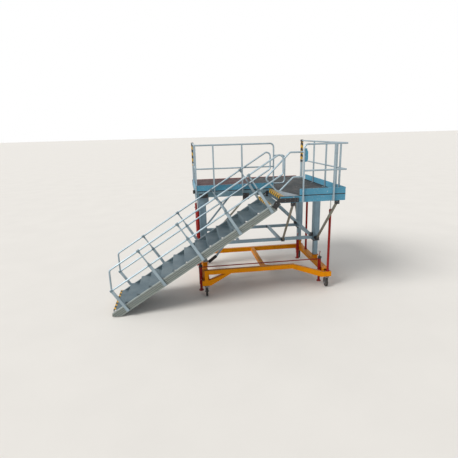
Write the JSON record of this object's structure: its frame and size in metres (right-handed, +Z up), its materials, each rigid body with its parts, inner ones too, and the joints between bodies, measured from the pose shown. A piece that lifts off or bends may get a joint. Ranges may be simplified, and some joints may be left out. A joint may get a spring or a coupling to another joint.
{
  "type": "aircraft cargo door access stand",
  "caption": "Height-adjustable work platform on a wheeled base frame, with a straight stair hinged to its landing, guard rails, telescopic columns and screw jacks.",
  "frame": {"origin": "on the floor, under the middle of the whole stand", "axes": "+X along the long side from the stair foot to the landing, +Y from the stair side to the aircraft side, +Z up"},
  "size_m": [5.345, 3.69, 3.67],
  "materials": {
    "base_orange": "semi-gloss orange-yellow paint, worn at the edges",
    "jack_red": "dark red paint",
    "deck_blue": "light blue paint",
    "column_aluminium": "satin aluminium extrusion",
    "rail_aluminium": "satin aluminium tube",
    "stair_aluminium": "extruded aluminium, brushed",
    "bracket_black": "black clamp brackets",
    "deck_floor": "dark anti-slip surface",
    "deck_strip": "dark red anti-slip strip",
    "plate_grey": "worn chequered transition plate",
    "hazard": "black and yellow hazard marking",
    "seal_black": "black joint strip",
    "caster_steel": "zinc plated",
    "tyre": "black rubber",
    "rod_steel": "hard chrome rod"
  },
  "bodies": {
    "base": {"base_near_truss": "base_orange", "base_far_beam": "base_orange", "base_end_beams": "base_orange", "base_cross_member": "base_orange", "column_inner": "column_aluminium", "lift_cylinder_barrels": "jack_red", "jack_housings": "jack_red", "jack_tie_bars": "jack_red"},
    "platform": {"column_outer": "column_aluminium", "lift_cylinder_rods": "rod_steel", "ring_beams": "column_aluminium", "frame_struts": "column_aluminium", "strut_brackets": "bracket_black", "deck_edge_beams": "deck_blue", "deck_bearers": "column_aluminium", "deck_panel": "deck_floor", "toe_seal": "seal_black", "toe_boards": "deck_blue", "deck_far_strip": "deck_strip", "transition_plate": "plate_grey", "landing_nosing": "hazard", "landing_riser": "stair_aluminium", "guardrail_main": "rail_aluminium", "guardrail_left_end": "rail_aluminium", "guardrail_landing": "rail_aluminium", "guardrail_right_end": "rail_aluminium", "bumper_posts": "hazard", "stair_hinge_brackets": "bracket_black"},
    "stair": {"stringer_near": "stair_aluminium", "stringer_far": "stair_aluminium", "stair_treads": "stair_aluminium", "stair_risers": "stair_aluminium", "tread_nosings": "hazard", "stair_ties": "stair_aluminium", "handrail_near": "rail_aluminium", "handrail_far": "rail_aluminium", "stair_hinge_arms": "bracket_black"},
    "stair_foot": {"stair_foot_rollers": "tyre"},
    "jack_near_left": {"jack_leg_near_left": "jack_red"},
    "caster_near_left": {"caster_fork_near_left": "caster_steel"},
    "wheel_near_left": {"caster_rim_near_left": "caster_steel", "caster_tyre_near_left": "tyre"},
    "jack_near_right": {"jack_leg_near_right": "jack_red"},
    "caster_near_right": {"caster_fork_near_right": "caster_steel"},
    "wheel_near_right": {"caster_rim_near_right": "caster_steel", "caster_tyre_near_right": "tyre"},
    "jack_far_left": {"jack_leg_far_left": "jack_red"},
    "caster_far_left": {"caster_fork_far_left": "caster_steel"},
    "wheel_far_left": {"caster_rim_far_left": "caster_steel", "caster_tyre_far_left": "tyre"},
    "jack_far_right": {"jack_leg_far_right": "jack_red"},
    "caster_far_right": {"caster_fork_far_right": "caster_steel"},
    "wheel_far_right": {"caster_rim_far_right": "caster_steel", "caster_tyre_far_right": "tyre"}
  },
  "joints": [
    {"name": "deck_lift", "type": "slide", "parent": "base", "child": "platform", "axis": [0, 0, 1], "range_m": [-0.25, 0.35]},
    {"name": "stair_hinge", "type": "hinge", "parent": "platform", "child": "stair", "pos_m": [1.135, 0, 2.455], "axis": [0, -1, 0], "range_deg": [-5, 7]},
    {"name": "stair_foot_roll", "type": "hinge", "parent": "stair", "child": "stair_foot", "pos_m": [-2.45, 0, 0.04], "axis": [0, 1, 0], "continuous": true},
    {"name": "jack_near_left_screw", "type": "slide", "parent": "base", "child": "jack_near_left", "axis": [0, 0, -1], "range_m": [0, 0.15]},
    {"name": "caster_near_left_swivel", "type": "hinge", "parent": "base", "child": "caster_near_left", "pos_m": [-0.49, -1.12, 0.29], "axis": [0, 0, 1], "continuous": true},
    {"name": "wheel_near_left_spin", "type": "hinge", "parent": "caster_near_left", "child": "wheel_near_left", "pos_m": [-0.49, -1.075, 0.125], "axis": [1, 0, 0], "continuous": true},
    {"name": "jack_near_right_screw", "type": "slide", "parent": "base", "child": "jack_near_right", "axis": [0, 0, -1], "range_m": [0, 0.15]},
    {"name": "caster_near_right_swivel", "type": "hinge", "parent": "base", "child": "caster_near_right", "pos_m": [2.59, -1.12, 0.29], "axis": [0, 0, 1], "continuous": true},
    {"name": "wheel_near_right_spin", "type": "hinge", "parent": "caster_near_right", "child": "wheel_near_right", "pos_m": [2.59, -1.075, 0.125], "axis": [1, 0, 0], "continuous": true},
    {"name": "jack_far_left_screw", "type": "slide", "parent": "base", "child": "jack_far_left", "axis": [0, 0, -1], "range_m": [0, 0.15]},
    {"name": "caster_far_left_swivel", "type": "hinge", "parent": "base", "child": "caster_far_left", "pos_m": [-0.49, 1.12, 0.29], "axis": [0, 0, 1], "continuous": true},
    {"name": "wheel_far_left_spin", "type": "hinge", "parent": "caster_far_left", "child": "wheel_far_left", "pos_m": [-0.49, 1.165, 0.125], "axis": [1, 0, 0], "continuous": true},
    {"name": "jack_far_right_screw", "type": "slide", "parent": "base", "child": "jack_far_right", "axis": [0, 0, -1], "range_m": [0, 0.15]},
    {"name": "caster_far_right_swivel", "type": "hinge", "parent": "base", "child": "caster_far_right", "pos_m": [2.59, 1.12, 0.29], "axis": [0, 0, 1], "continuous": true},
    {"name": "wheel_far_right_spin", "type": "hinge", "parent": "caster_far_right", "child": "wheel_far_right", "pos_m": [2.59, 1.165, 0.125], "axis": [1, 0, 0], "continuous": true}
  ],
  "couplings": [
    {"joint": "stair_hinge", "follows": "deck_lift", "rad_per_m": 0.27894}
  ]
}
